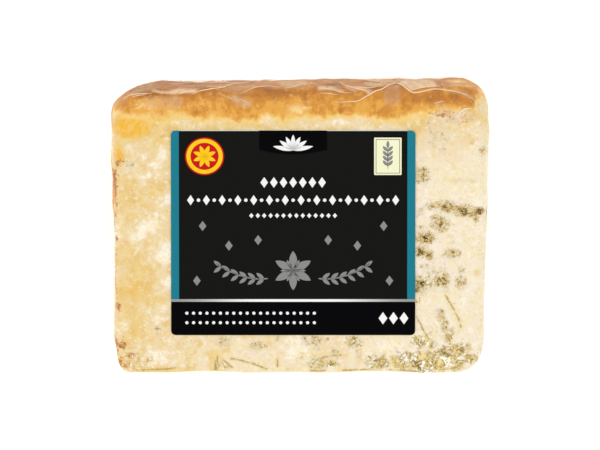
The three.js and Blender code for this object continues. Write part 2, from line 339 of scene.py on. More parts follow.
def off_label(grid, region):
    """0 under the label and on the resting face, which stay flat, and 1 clear of them."""
    past = np.maximum(
        np.abs(grid.along - LABEL_ALONG) - LABEL_WIDTH / 2,
        np.abs(grid.from_axis - LABEL_FROM_AXIS) - LABEL_HEIGHT / 2,
    )
    clear = np.where(region.beside_rind, fade(past, (LABEL_MARGIN, 2 * LABEL_MARGIN)), 1)
    return clear * region.off_rest


def drawn_film(grid, region):
    """How far film drawn tight over the bumpy cheese stands off the plain wedge."""
    swell = grid.along / PIECE_LENGTH * RIND_SWELLS_TO_CUT_END
    return off_label(grid, region) * (
        region.rind * (bumps(grid.at, RIND_BUMPS) + bumps(grid.at, RIND_PITS) + swell)
        + region.crust_end * bumps(grid.at, CRUST_BUMPS)
        + region.cut_end * bumps(grid.at, CUT_END_WAVES)
        + region.crumbly * bumps(grid.at, CRUMB_BUMPS)
        + region.thin_edge * bumps(grid.at, THIN_EDGE_WAVES)
    )


def gathered_film(grid, region):
    """How much further the film stands off where it is creased over the rind or folded over an end."""
    near_rind = fade(grid.from_axis, (80, 95)) * (1 - region.ends)
    creases = near_rind * ridges(grid.along, grid.around, CREASES)
    folds = region.ends * ridges(grid.at[:, 1], grid.at[:, 2], END_FOLDS)
    return off_label(grid, region) * (creases + folds)


# ------------------------------------------------------------------ where the cheese's colours lie

# On the upper cut face: [along, from axis, half width along, half width across, strength].
VEINS = [
    (41.9, 74.2, 2.93, 3.17, 0.83), (56.5, 72, 6, 1, 0.25), (44.8, 63.2, 2.44, 1.59, 0.61),
    (41.5, 61.2, 1.71, 1.71, 0.5), (50.3, 63.2, 4.15, 1.95, 0.88), (55.5, 61.8, 5.12, 1.95, 0.88),
    (57.5, 60.3, 3.66, 1.34, 0.84), (61.6, 61.2, 2.6, 1.4, 1.2), (60.6, 58.9, 1.22, 1.71, 0.88),
    (48.3, 56.8, 3.17, 2.93, 0.83), (46.6, 58.8, 1.95, 1.46, 0.61), (43.2, 51.9, 3.42, 2.32, 0.99),
    (42, 55.6, 2.68, 1.22, 0.39), (41.6, 47, 1.59, 2.32, 1.04), (44.6, 45.6, 1.71, 1.95, 0.94),
    (52.2, 46.2, 2.93, 1.95, 0.83), (52.6, 50.4, 1, 2, 0.3), (43, 41.6, 2.44, 1.71, 0.44),
    (41.4, 35, 2.93, 3.17, 1.06), (44.4, 35.6, 2.44, 1.46, 0.72), (47.6, 36.6, 1.71, 1.95, 0.95),
    (50, 36.6, 1.71, 2.93, 0.98), (55.5, 36, 2.2, 2.44, 0.66), (55.6, 40.4, 1.46, 2.2, 0.44),
    (45.2, 89.7, 1.2, 1.8, 0.5), (45.4, 85.8, 1.8, 1.2, 0.45), (49.3, 83.3, 1.6, 1, 0.45),
    (44.2, 92.6, 0.8, 1.4, 0.45), (47.4, 95.6, 3, 1.2, 0.4), (63.2, 82.9, 1.95, 1.95, 0.55),
    (42, 79.5, 1.2, 0.9, 0.3), (48.6, 24.5, 1.5, 2.4, 0.72), (50, 20.2, 1.4, 2.6, 0.78),
    (51.2, 16.7, 1.6, 2.4, 0.74), (41.4, 14.6, 2.2, 2, 0.5), (45.4, 14, 2.2, 1.8, 0.6),
    (55.9, 13, 1.2, 1.2, 0.95), (58.6, 8.8, 2.6, 1.4, 0.75), (5.6, 15.4, 2.6, 2.2, 0.56),
    (9.6, 15.6, 2.6, 1, 0.35), (18.4, 14.6, 2.4, 2.4, 0.72), (20.2, 10.3, 0.8, 2.2, 0.4),
    (6.6, 6.9, 3.4, 2, 0.8), (13, 9.5, 1, 1.6, 0.5), (24.7, 7, 2.6, 2, 0.45), (28.4, 7.8, 1.5, 2.6, 0.55),
    (37.3, 9.4, 2.6, 2.2, 0.5), (33.6, 8.2, 1.8, 1.8, 0.45), (-48.3, 19.4, 1.8, 1.2, 0.5),
    (-39.8, 14.2, 1, 0.8, 0.35), (-25.9, 14.8, 2.6, 2.2, 0.56), (-28.2, 6.6, 1.4, 2.4, 0.44),
    (-14.8, 13.4, 2.6, 1.8, 0.58), (-7.2, 15.8, 0.8, 1.4, 0.55), (-57.7, 77.4, 2.2, 2.2, 0.36),
    (48, 88, 6, 6, 0.24), (51, 94, 5, 2, 0.26), (-25, 5.9, 1.4, 0.8, 0.7), (-11.4, 13.4, 1, 0.8, 0.5),
    (2.2, 15.4, 1.8, 2.2, 0.5), (6.2, 12.6, 1.4, 1.4, 0.45), (12, 11, 1.6, 2, 0.5), (46.5, 38, 7, 6, 0.32),
]
GOLDEN = [
    (-57, 91, 9, 5.5, 1.4), (-60, 94, 6, 5, 1.1), (-61.4, 82, 2.6, 6, 1.1), (-46, 95.5, 12, 3, 0.6),
    (-46, 89, 5, 3.4, 0.5), (45, 92, 6, 4, 0.4), (-20, 92, 22, 1.7, 0.5), (18, 92, 22, 1.5, 0.42),
    (-58.4, 69, 4, 6, 0.7), (-56.4, 59.5, 3.2, 2.6, 0.66), (-55, 42.3, 9, 7, 0.74), (-56.5, 33, 9, 8, 0.74),
    (-50, 36.6, 2.4, 2, 0.7), (-51.7, 29.9, 4, 5, 0.6), (-56.2, 19.2, 3.2, 3.8, 0.75),
    (-59, 15.4, 3, 2, 0.75), (-60, 24, 3, 4, 0.5), (-47, 4.9, 9, 1.5, 0.9), (-28.6, 8, 2.4, 4.4, 1),
    (-26, 14, 3, 2.8, 1.05), (-14, 13, 3, 1.8, 1), (-34, 14, 1.6, 1.2, 0.8), (35.6, 92, 4, 4, 0.55),
    (40, 90, 3.4, 4, 0.5), (54.4, 72.3, 6, 1, 0.5), (53.4, 77.9, 1.6, 2.6, 0.45), (61, 39.4, 1.6, 2, 0.55),
    (60.6, 48, 3, 6, 0.2), (20.4, 9.4, 1.2, 4.4, 0.7), (10, 10, 5, 2.6, 0.7), (19, 15, 3, 1.6, 0.7),
    (48, 8, 10, 4, 0.3),
]
WHITISH = [
    (-55.8, 52.7, 3.2, 2.8, 1), (-49.3, 60.1, 6, 4.6, 0.6), (-46.6, 47.7, 3, 14, 0.95),
    (-56.8, 82.6, 3, 2.2, 0.8), (-55.8, 73.7, 2, 1.6, 0.7), (-47.6, 79.7, 5, 6, 0.7), (-47.6, 27, 4, 3, 0.8),
    (-50.3, 9.5, 7, 5, 0.5), (-62.8, 49.4, 1.8, 7.4, 0.7), (61.4, 60, 2.6, 12, 0.6), (-16, 8.6, 8, 4, 0.5),
    (0, 12, 5, 5, 0.6), (32, 13, 6, 3, 0.5), (-32, 93.2, 6, 1.4, 0.45), (-6, 91.6, 10, 1.6, 0.45),
    (14, 92.6, 7, 1.2, 0.5), (24, 90.6, 8, 1.4, 0.35),
]
DULL = [(46, 90, 11, 9, 1.0)]
CRUST_SPECKS = [
    (-63.2, 73, 0.9, 3.4, 1.3), (-61.4, 78.6, 2.2, 2.2, 0.75), (-63.6, 58.5, 0.9, 4.5, 0.9),
    (-57.2, 68.3, 1.6, 1.4, 0.4), (-63.2, 39.5, 0.7, 4, 0.75), (-62.4, 26.8, 1.8, 2.2, 1),
    (-63, 18, 0.6, 4, 0.9), (-60.8, 13.2, 2.4, 3, 0.85), (-57.8, 10, 3.4, 1.4, 0.75), (-60, 6, 1.2, 1.6, 0.8),
    (63.6, 82.9, 1.2, 1.2, 0.7), (49, 96, 6, 2, 0.62), (-63.4, 69, 1.6, 8, 1.2), (-62.7, 13, 1.1, 5, 1),
    (-61.6, 7.6, 1.2, 2.6, 1), (-62.4, 49, 0.8, 6, 0.6), (-62.9, 32, 0.9, 6, 0.75), (-54, 4.4, 5, 0.6, 0.55),
    (41, 75.6, 0.9, 1.1, 0.75), (41, 29.6, 0.9, 1.4, 0.85), (56.5, 94, 3.4, 2.6, 0.5),
]
CRUMBS = [
    (44, 7.5, 10, 4.8, 1), (42.6, 14.8, 4, 2.8, 0.9), (54, 9.4, 5.5, 5.5, 0.85), (51.4, 17, 2, 4, 0.6),
    (58.6, 8.4, 3, 2.2, 0.8), (35, 7, 4, 3, 0.8), (27, 7, 5, 2.8, 0.7), (8.4, 7, 5, 2.4, 0.62),
    (18.4, 14.6, 2.6, 2.2, 0.6), (-54, 8, 5, 4, 0.5), (-25.4, 6.4, 1.6, 1.8, 0.42), (42, 35, 3, 3, 0.45),
    (48.4, 24.6, 1.8, 3.4, 0.4),
]
CRACK_REACH = 1.5  # the "cracks" attribute falls from 1 on a crack to 0 this far from it
CRACKS = [  # [along, from axis] points
    [(50.3, 31.3), (51.6, 28.9), (53.3, 26), (54.7, 23), (55.6, 19.8)],
    [(40.2, 23.8), (41.9, 20.6), (43.2, 17.7), (44.6, 15.8)],
    [(-23.3, 8.8), (-18.6, 7.8), (-15, 6.6), (-11, 5)],
    [(-26, 8.2), (-24, 6.4), (-22.8, 5.6)],
    [(-28.9, 4.4), (-28.6, 7), (-27.9, 9.4)],
    [(-28, 4.4), (-27.6, 6.4)],
    [(-7.5, 8.5), (-7.3, 5.6)],
    [(4, 5.6), (6, 8.2), (9, 9.4), (14.5, 9.8)],
    [(26.8, 5.4), (28, 8), (29.6, 10.4)],
    [(51.8, 14), (53.2, 12.2), (54.4, 13.4)],
    [(-54, 4.7), (-47, 4.9), (-42, 5.4)],
    [(4, 4.3), (9, 4.5)],
    [(15, 4.4), (24, 4.6)],
    [(31, 4.6), (40, 4.2)],
    [(49.5, 4.8), (53, 5.3), (56.5, 7), (59, 9.4)],
]

# Where the rind's gold starts on the upper face: [along, from axis].
RIND_STARTS = [
    (-64, 94.5), (-54, 94.5), (-40, 94.6), (-30, 93.8), (-20, 93.4), (-6, 94), (4, 94.2), (20, 94.4),
    (32, 93.4), (40, 94.6), (44, 96), (48, 97), (54, 96.9), (58, 97.3), (60, 98.6), (62, 102.4),
]

# How far under the upper face the crust's brown starts on the crusted end: [from axis, distance].
CRUST_STARTS = [(0, 4), (36, 3), (44, 9), (58, 9), (64, 3), (84, 2), (100, 5)]

# Over the rind's shoulder: [along, around, half width along, half width around, strength].
RIND_DARKER = [
    (-51, 6.6, 12, 2, 0.8), (-59, 5, 3, 3, 0.5), (-40, 13, 9, 4, 0.7), (-18, 8, 4, 3, 0.4),
    (-7.5, 7.4, 9, 3.4, 0.55), (2.2, 4.6, 0.9, 3.4, 0.9), (14, -0.4, 2.2, 2, 0.8), (11.5, 15, 3.4, 4, 0.8),
    (24, 19, 7, 2.4, 0.7), (26, 8.2, 3.4, 1, 0.8), (32.2, 5, 2.6, 3.6, 0.55), (47, 4.6, 13, 2.4, 0.8),
    (47.6, 6, 2.8, 1.2, 0.7), (37, 4, 3, 2.6, 0.5), (48, 15, 3.2, 5, 0.8), (58.4, 8, 2.6, 1.6, 0.6),
    (-52, 15, 10, 6, 1), (-36, 22, 12, 8, 0.7), (-29, 1.5, 1.2, 2.4, 0.5), (-24, 3, 1.2, 3, 0.5),
    (-45.5, 3, 1, 2.6, 0.5), (-41.5, 3, 0.8, 2.4, 0.5),
]
RIND_PALER = [
    (-0.9, 0.3, 3.4, 2.4, 1), (-52, 2.6, 4, 1.8, 0.5), (54, 17, 3.6, 4, 0.7), (62.5, 4, 2, 7, 1),
    (-31.8, 3, 8, 2.4, 0.25), (12, -2.2, 5, 1.4, 0.4), (51.5, 0.2, 4, 1.8, 0.6),
]

# Facets of gathered film over the rind's shoulder: a haze, how many millimetres it fades in over, and
# the facet's [along, around] corners.
FACETS = [
    (0.85, 0.8, [(34.2, 12.4), (35.3, 26), (39.4, 31), (44.9, 33), (45.9, 19), (47.3, 8.8), (42.8, 8.2),
                 (38, 7)]),
    (0.78, 1.5, [(18.2, 27.8), (27.1, 29.5), (34.2, 29.5), (33.6, 14.3), (29.1, 17.7), (22.9, 22.5)]),
    (0.8, 0.7, [(15.8, 13.3), (19.5, 10.8), (22.9, 8.8), (25, 7), (24, 5.5), (21.6, 7.4), (18.2, 7.7),
                (16.1, 9.1)]),
    (0.7, 1, [(25, 9.8), (29.1, 9.1), (31.2, 11.5), (27.1, 14.3), (22.3, 16.5), (22.9, 10.8)]),
    (0.3, 1.6, [(33.2, 10.8), (29.1, 7.4), (29.5, 2.4), (33.9, 1.7), (34.9, 7)]),
    (0.65, 1.4, [(-7.9, 22.5), (2.1, 26), (3.1, 16.5), (-0.3, 10.8), (-4.5, 9.8), (-5.8, 14.3)]),
    (0.8, 0.8, [(6.2, 10.3), (11.3, 10.8), (15.1, 8.2), (14.7, 7.2), (10.6, 8.2), (6.5, 8.2)]),
    (0.35, 2.4, [(-60, 14), (-51, 22.5), (-47.6, 12.4), (-51, 8.5), (-58.6, 8.8)]),
    (0.95, 0.9, [(-50, 8.7), (-44.9, 8.1), (-40.8, 9.3), (-34.6, 8.5), (-35.3, 7), (-41.4, 6.5),
                 (-47.6, 7)]),
    (0.4, 2.4, [(-52.7, 4.9), (-47.6, 5.7), (-40.8, 5.3), (-39.7, 3.1), (-40.8, 1.1), (-47.6, 1.4),
                (-52.1, 2.4)]),
    (0.6, 2, [(-24, 5.7), (-20.9, 6.1), (-16.1, 3.1), (-16.1, 1.7), (-20.2, 2.1), (-23.3, 3.8)]),
    (0.2, 2.4, [(-26.4, 9.8), (-20.2, 14.3), (-14.7, 19), (-14.7, 9.8), (-19.2, 7), (-22.9, 7.4)]),
    (0.7, 0.8, [(50.7, 9.1), (52.4, 10.8), (56.2, 11.5), (55.5, 9.1)]),
    (0.3, 2, [(54.4, -1.8), (57.2, 0.4), (59.9, 1.9), (61, -0.5), (59.9, -3.6), (56.2, -3.6)]),
    (0.45, 3, [(46.5, 3), (51, 1.6), (54.2, -1.4), (55, -4.4), (52, -3.4), (49, -0.6)]),
    (0.5, 0.8, [(47.6, 7.7), (52.4, 7.6), (57.2, 6.5), (59.9, 5), (58.6, 4.5), (53.4, 6.2)]),
]


def inside(u, v, corners):
    """Whether each 2D place is inside a polygon."""
    result = np.zeros(len(u), dtype=bool)
    for (u0, v0), (u1, v1) in zip(corners, corners[1:] + corners[:1]):
        crosses = (v0 > v) != (v1 > v)
        height = v1 - v0 if v1 != v0 else 1
        result ^= crosses & (u < u0 + (u1 - u0) * (v - v0) / height)
    return result


def facet_haze(u, v):
    """The haze of the strongest facet at each 2D place, gone before it is far behind the shoulder."""
    haze = np.zeros(len(u))
    for strength, softness, corners in FACETS:
        from_edge = route_distance(u, v, corners + corners[:1])
        depth = np.where(inside(u, v, corners), from_edge, -from_edge)
        haze = np.maximum(haze, strength * fade(depth, (-softness / 2, softness / 2)))
    return haze * fade(v, (32, 22))


def patches(u, v, places):
    """Soft-edged patches: the strongest of those at each 2D place."""
    strengths = [
        strength * np.exp(-((u - u0) / u_half) ** 2 - ((v - v0) / v_half) ** 2)
        for u0, v0, u_half, v_half, strength in places
    ]
    return np.max(strengths, axis=0)


FACE_CURLS_UNDER = 10  # nearer the axis than this, the upper face's marks go on round the thin edge
RIND_DEPTH = 7  # added over the rind to how far a place is past the start of the rind's gold
VEINS_ELSEWHERE = 0.9  # the strongest on the cut surfaces that aren't in the lists above
CRUMBS_ELSEWHERE = 0.5
CRUST_WANDERS = SimpleNamespace(size=11, height=5, seed=31)
VEIN_DRIFTS = SimpleNamespace(size=13, height=1, seed=29)


def paint_cheese(grid, region):
    """Vertex attributes that say where rind, gold, veins, crumbs and cracks are."""
    u, v = grid.along, grid.from_axis
    on_face = np.where(v < FACE_CURLS_UNDER, region.over_thin_edge, region.upper_face) * (grid.around < 2)
    under_face = -grid.at @ OUT_OF_UPPER_FACE

    crust_depth = under_face - np.interp(v, *zip(*CRUST_STARTS)) + bumps(grid.at, CRUST_WANDERS)
    turned_to_crust = fade(-grid.out[:, 0], (0.6, 1)) * fade(crust_depth, (-3, 14))
    over_rind = RIND_DEPTH * region.rind * fade(grid.around, (1, 12))
    rind_depth = v - np.interp(u, *zip(*RIND_STARTS)) + over_rind

    # The other cut surfaces have veins and crumbs too, in drifts away from their edges.
    inner = fade(v, (92, 84)) * fade(-u, (62, 50)) * fade(under_face, (4, 11))
    elsewhere = (1 - on_face) * inner * fade(bumps(grid.at, VEIN_DRIFTS), (0, 0.45))

    gold = patches(u, v, GOLDEN) - patches(u, v, WHITISH)
    pale_to_right = fade(u, (-40, 45)) * fade(v, (100, 80)) * (1 - patches(u, v, DULL))
    pale_below = 0.6 * fade(v, (26, 12)) * fade(u, (-52, -30))
    from_crack = np.min([route_distance(u, v, route) for route in CRACKS], axis=0)
    paint = {
        "rind_depth": np.maximum(rind_depth, lerp(-5, 9, turned_to_crust)),
        "haze": facet_haze(u, grid.around),
        "darker": patches(u, grid.around, RIND_DARKER),
        "paler": patches(u, grid.around, RIND_PALER),
        "gold": fade(under_face, (9, 3)) * fade(v, (106, 100)) * gold,
        "specks": fade(under_face, (8, 3)) * patches(u, v, CRUST_SPECKS),
        "veins": np.maximum(on_face * patches(u, v, VEINS), VEINS_ELSEWHERE * elsewhere),
        "crumbs": np.maximum(on_face * patches(u, v, CRUMBS), CRUMBS_ELSEWHERE * elsewhere),
        "pale": np.maximum(pale_to_right, pale_below),
        "cracks": on_face * (1 - np.minimum(from_crack / CRACK_REACH, 1)),
    }
    for name, values in paint.items():
        set_attribute(grid, name, values)


# ------------------------------------------------------------------ materials

MOST_SHINE = 0.05  # the film never mirrors more than this share, even edge on
MOST_HAZE = 0.45
FACET_HAZE = 0.3  # the film's own share of a facet's haze; the rest shows as a veil on the cheese


def srgb(red, green, blue):
    """A colour as it looks on screen, 0 to 255, as the linear colour that a shader takes."""
    def linear(value):
        share = value / 255
        return share / 12.92 if share <= 0.04045 else ((share + 0.055) / 1.055) ** 2.4
    return (linear(red), linear(green), linear(blue), 1)


class Output:
    """An output of a shader: a number, a colour or a closure. Sums and products add maths nodes."""

    def __init__(self, shader, socket):
        self.shader = shader
        self.socket = socket

    def __add__(self, other):
        return self.shader.math("ADD", self, other)

    def __sub__(self, other):
        return self.shader.math("SUBTRACT", self, other)

    def __mul__(self, other):
        return self.shader.math("MULTIPLY", self, other)

    def at_most(self, other):
        return self.shader.math("MINIMUM", self, other)

    def at_least(self, other):
        return self.shader.math("MAXIMUM", self, other)

    def fade(self, none, full):
        inputs = {"Value": self, "From Min": none, "From Max": full}
        return self.shader.add("ShaderNodeMapRange", inputs, "Result", interpolation_type="SMOOTHSTEP")

    def swing(self, reach):
        """Noise around 0.5 as a value around 0 that swings by about a reach."""
        return (self - 0.5) * (2 * reach)

    def contour(self, reach):
        """Lines where noise crosses its middle, 1 at heart and 0 where it is off by a reach."""
        return self.shader.math("ABSOLUTE", self - 0.5).fade(reach, 0)

    def coated(self, *coats):
        """This colour with others laid over it in turn, each given as its share and the colour."""
        result = self
        for share, colour in coats:
            result = self.shader.blend(share, result, colour)
        return result


class Shader:
    """A material's node tree."""

    def __init__(self, name):
        self.material = bpy.data.materials.new(name)
        self.material.use_nodes = True
        self.tree = self.material.node_tree
        self.tree.nodes.clear()
        self.place = self.add("ShaderNodeTexCoord", {}, "Object")

    def add(self, kind, inputs, output=0, **settings):
        node = self.tree.nodes.new(kind)
        for key, value in settings.items():
            setattr(node, key, value)
        for key, value in inputs.items():
            if isinstance(value, Output):
                self.tree.links.new(value.socket, node.inputs[key])
            else:
                node.inputs[key].default_value = value
        return Output(self, node.outputs[output])

    def attribute(self, name):
        return self.add("ShaderNodeAttribute", {}, "Fac", attribute_name=name)

    def math(self, operation, first, second=0.0):
        return self.add("ShaderNodeMath", {0: first, 1: second}, operation=operation)

    def vectors(self, operation, first, second):
        return self.add("ShaderNodeVectorMath", {0: first, 1: second}, operation=operation)

    def blend(self, share, first, second):
        """One colour turning into another."""
        return self.add("ShaderNodeMix", {0: share, 6: first, 7: second}, 2, data_type="RGBA")

    def mix(self, share, first, second):
        """One closure turning into another."""
        return self.add("ShaderNodeMixShader", {0: share, 1: first, 2: second})

    def noise(self, size, detail=3, roughness=0.55, distortion=0, place=None):
        """Noise around 0.5 with grains of a size in millimetres."""
        inputs = {
            "Vector": place or self.place,
            "Scale": 1 / (size * MM),
            "Detail": detail,
            "Roughness": roughness,
            "Distortion": distortion,
        }
        return self.add("ShaderNodeTexNoise", inputs, "Fac")

    def cells(self, size, place):
        """Cells of a size in millimetres: the distance to a border, and a chance value for each cell."""
        inputs = {"Vector": place, "Scale": 1 / (size * MM)}
        border = self.add("ShaderNodeTexVoronoi", inputs, "Distance", feature="DISTANCE_TO_EDGE")
        colour = self.add("ShaderNodeTexVoronoi", inputs, "Color")
        return border, self.add("ShaderNodeSeparateColor", {0: colour}, "Red")

    def warped(self, size, reach):
        """Places moved about by noise of a size, by about a reach, both in millimetres."""
        inputs = {"Vector": self.place, "Scale": 1 / (size * MM), "Detail": 2}
        push = self.vectors("SUBTRACT", self.add("ShaderNodeTexNoise", inputs, "Color"), (0.5, 0.5, 0.5))
        return self.vectors("ADD", self.place, self.vectors("MULTIPLY", push, [reach * MM] * 3))

    def stretched(self, x, y, z, place=None):
        """Places scaled on each axis, for noise whose grains are longer where the factor is small."""
        return self.vectors("MULTIPLY", place or self.place, (x, y, z))

    def bump(self, height, depth, strength):
        """A bumpy normal, from a height of 0 to 1 that stands for a depth in millimetres."""
        return self.add("ShaderNodeBump", {"Height": height, "Distance": depth * MM, "Strength": strength})

    def finish(self, surface):
        output = self.tree.nodes.new("ShaderNodeOutputMaterial")
        self.tree.links.new(surface.socket, output.inputs["Surface"])
        return self.material

    def principled(self, **inputs):
        named = {key.replace("_", " "): value for key, value in inputs.items()}
        return self.finish(self.add("ShaderNodeBsdfPrincipled", named))


def cheese_material():
    shader = Shader("blue_cheese")
    clouds = shader.noise(8)
    mottle = shader.noise(3.4, 4, 0.6)
    knots = shader.noise(2.1, 4, 0.62)
    fine = shader.noise(1.2, 4, 0.68)
    grain = shader.noise(0.5, 3, 0.6)
    curls = shader.noise(2.8, 3, 0.6, 0.8)
    swirls = shader.noise(3.4, 1.6, 0.5, 1.6)
    wisps = shader.noise(1.8, 1.8, 0.5, 1.2)
    streaks = shader.noise(2.4, 4, 0.62, place=shader.stretched(1, 0.55, 0.55))
    pale = shader.attribute("pale")
    gold = shader.attribute("gold")

    # The paste: cream, clouded with yellow, with paler lumps and ochre grains.
    unrest = clouds.swing(2.1) + mottle.swing(1.5)
    calm = gold.fade(1.3, 0) * pale.fade(1.6, 0)
    yellow = gold + unrest * calm + pale * -0.25 + 0.2
    ochre = shader.blend(gold.fade(0.4, 1), srgb(226, 190, 112), srgb(240, 182, 58))
    off_gold = gold.fade(1.2, 0.2)
    cream = shader.blend(pale, srgb(235, 210, 162), srgb(243, 229, 202))
    paste = cream.coated(
        (yellow.fade(-0.1, -0.9), srgb(250, 240, 220)),
        (yellow.fade(0, 0.6), srgb(233, 200, 132)),
        (yellow.fade(0.6, 1.3), ochre),
        (curls.fade(0.47, 0.62) * (pale * 0.2 + 0.28), srgb(240, 227, 162)),
        (clouds.fade(0.52, 0.64) * pale * 0.55, srgb(248, 238, 226)),
        (knots.fade(0.54, 0.66) * off_gold * 0.45, srgb(255, 247, 232)),
        (streaks.fade(0.5, 0.68) * off_gold * 0.2, srgb(248, 228, 208)),
        (fine.fade(0.5, 0.68) * 0.36, srgb(222, 188, 122)),
    )

    # Veins: a wide grey halo and a greener one in it, ochre, then olive, then nearly black at heart.
    veins = shader.attribute("veins")
    near = veins.fade(0.06, 0.32)
    vein_amount = veins + knots.swing(0.7) + fine.swing(1) + grain.swing(1)
    dark = vein_amount.fade(0.92, 1.26) * near
    paste = paste.coated(
        (veins.fade(0.01, 0.3) * 0.45, srgb(236, 228, 218)),
        (veins.fade(0.1, 0.6) * 0.5, srgb(206, 201, 184)),
        (vein_amount.fade(0.18, 0.62) * near, srgb(218, 190, 128)),
        (vein_amount.fade(0.56, 0.95) * near, srgb(156, 132, 76)),
        (dark, srgb(66, 48, 14)),
    )

    # Crumbs: loose curds with curved brown lines between them. Their cream and gold are partly the curds' own
    # colour, and partly a painted highlight on their domes and painted shade in their hollows.
    crumb_amount = (shader.attribute("crumbs") + mottle.swing(0.9)).fade(0.18, 0.6)
    # Painted highlight and shade: the curds follow the swirls that raise their domes in the bump below,
    # bright on top and golden and darker in the hollows.
    curd_with_painted_light = shader.blend(swirls.fade(0.42, 0.58), srgb(238, 216, 144), srgb(255, 252, 236))
    curd_with_painted_light = shader.blend(wisps.fade(0.47, 0.6) * 0.85, curd_with_painted_light, srgb(206, 174, 88))
    wide_lines = swirls.contour(0.055) * fine.fade(0.36, 0.48)
    fine_lines = wisps.contour(0.045) * curls.fade(0.44, 0.54) * 0.7
    crumb_lines = crumb_amount * wide_lines.at_least(fine_lines)
    line_colour = shader.blend(knots.fade(0.4, 0.6), srgb(164, 130, 54), srgb(112, 86, 32))
    line_colour = shader.blend(pale.fade(0.3, 0.05), line_colour, srgb(206, 152, 84))

    # Cracks: thin broken lines in a softer band.
    cracks = shader.attribute("cracks")
    crack_lines = (cracks + fine.swing(0.3)).fade(0.68, 0.94) * mottle.fade(0.32, 0.44) * 0.8
    paste = paste.coated(
        (crumb_amount * 0.85, curd_with_painted_light),
        (crumb_lines, line_colour),
        (cracks.fade(0.1, 0.8) * 0.4, srgb(230, 208, 140)),
        (crack_lines, srgb(176, 140, 66)),
    )

    # The rind: cream turns to yellow, gold and brown with depth, with streaks that run over the edge.
    paler = shader.attribute("paler")
    depth = shader.attribute("rind_depth") + streaks.swing(2.2) + clouds.swing(3) + mottle.swing(1.6)
    deep = depth * 0.06 + shader.attribute("darker") + paler * -0.6 + clouds.swing(1)
    deep = deep + streaks.swing(0.6) + knots.swing(0.5) + fine.swing(0.6)
    on_rind = depth.fade(0.4, 3)
    bloom = on_rind * (curls.fade(0.54, 0.68) * 0.5 + paler)
    specks = shader.attribute("specks")
    near_specks = specks.fade(0.05, 0.3)
    speck_amount = specks + fine.swing(1.5) + knots.swing(1)

    # Over all lies what shows of the cheese through hazy facets of the film.
    haze = shader.attribute("haze")
    veil = shader.blend(haze.fade(0.6, 1), srgb(218, 178, 130), srgb(252, 230, 194))
    veiled = haze * (curls.fade(0.4, 0.6) + 0.6) * 0.75
    colour = paste.coated(
        (depth.fade(-1.6, 0.8), srgb(242, 206, 124)),
        (depth.fade(0, 2.4), srgb(230, 168, 72)),
        (on_rind * deep.fade(0.1, 0.6), srgb(211, 143, 56)),
        (on_rind * deep.fade(0.5, 1.2), srgb(190, 122, 50)),
        (on_rind * deep.fade(1.1, 1.9), srgb(156, 98, 44)),
        (bloom.fade(0.1, 1.2), srgb(246, 214, 150)),
        (near_specks * speck_amount.fade(0.45, 0.8), srgb(208, 156, 96)),
        (near_specks * speck_amount.fade(0.75, 1.1) * 0.8, srgb(168, 108, 50)),
        (veiled.at_most(0.85), veil),
    )
    domes = crumb_amount * swirls.fade(0.35, 0.65)
    height = fine * 0.5 + grain * 0.2 + dark * -0.4 + domes * 0.5
    height = height + crumb_lines * -0.2 + crack_lines * -0.1
    return shader.principled(
        Base_Color=colour,
        Roughness=0.55,
        Specular_IOR_Level=0.12,
        Subsurface_Weight=0.1,
        Subsurface_Radius=(1.0, 0.6, 0.3),
        Subsurface_Scale=0.6 * MM,
        Normal=shader.bump(height, 0.4, 0.6),
    )


def film_material():
    """Clear film. Hazy facets lie where it is gathered, and creases part it into more behind, with pale lines
    along them as painted highlights.
    """
    shader = Shader("clear_film")
    ripple = shader.bump(shader.noise(6, 2, 0.5), 0.15, 0.4)
    clear = shader.add("ShaderNodeBsdfTransparent", {})
    gloss = shader.add("ShaderNodeBsdfAnisotropic", {"Roughness": 0.15, "Normal": ripple})
    shine = shader.add("ShaderNodeFresnel", {"IOR": 1.25}).at_most(MOST_SHINE)
    veil = shader.add("ShaderNodeBsdfDiffuse", {"Color": srgb(244, 216, 180)})
    crease_highlight_white = shader.add("ShaderNodeBsdfDiffuse", {"Color": srgb(255, 238, 210)})

    gathered = shader.attribute("gathered")
    border, chance = shader.cells(4, shader.stretched(0.3, 1, 1, shader.warped(12, 5)))
    streaks = shader.noise(1.2, 4, 0.6, place=shader.stretched(0.25, 1, 1))
    behind = gathered * chance.fade(0.3, 1) * streaks.fade(0.3, 0.62)
    facets = shader.attribute("haze") * (streaks.fade(0.3, 0.66) + 0.5) * FACET_HAZE
    hazy = shader.mix(behind.at_least(facets).at_most(MOST_HAZE), shader.mix(shine, clear, gloss), veil)
    # Painted highlight: pale lines along the cell borders where the film is gathered.
    crease_highlight = gathered * border.fade(0.05, 0.01) * streaks.fade(0.42, 0.58) * 0.7
    return shader.finish(shader.mix(crease_highlight, hazy, crease_highlight_white))


def fold_highlight_material():
    """Film doubled over itself, less clear than one layer. Its pale tone is partly the doubled film's own and
    partly a painted highlight on the crease, and its faint glow is a painted highlight.
    """
    shader = Shader("folded_film_highlight")
    tone = shader.blend(shader.noise(4), srgb(255, 238, 208), srgb(246, 210, 162))
    # Painted highlight: a pale tone and a faint glow make the folds show as bright lines.
    return shader.principled(
        Base_Color=tone,
        Roughness=0.3,
        Alpha=0.7,
        Emission_Color=srgb(255, 232, 198),
        Emission_Strength=0.12,
    )


INKS = {  # the label's slots, with the colour of each on screen
    "label_paper": (232, 232, 226),
    "label_field": (20, 20, 18),
    "label_teal": (30, 122, 140),
    "label_foot": (3, 3, 5),
    "label_silver": (240, 240, 240),
    "label_white": (238, 238, 234),
    "label_grey": (136, 136, 134),
    "label_red": (196, 24, 30),
    "label_gold": (252, 200, 30),
    "label_cream": (240, 238, 200),
}
INKS_BESIDE_SHEEN = {"label_silver": (150, 150, 150)}  # what an ink turns to towards the label's sides, out of the painted reflection that brightens it in the middle
SIDES = (10 * MM, 40 * MM)  # from the label's middle, where the turn starts and ends


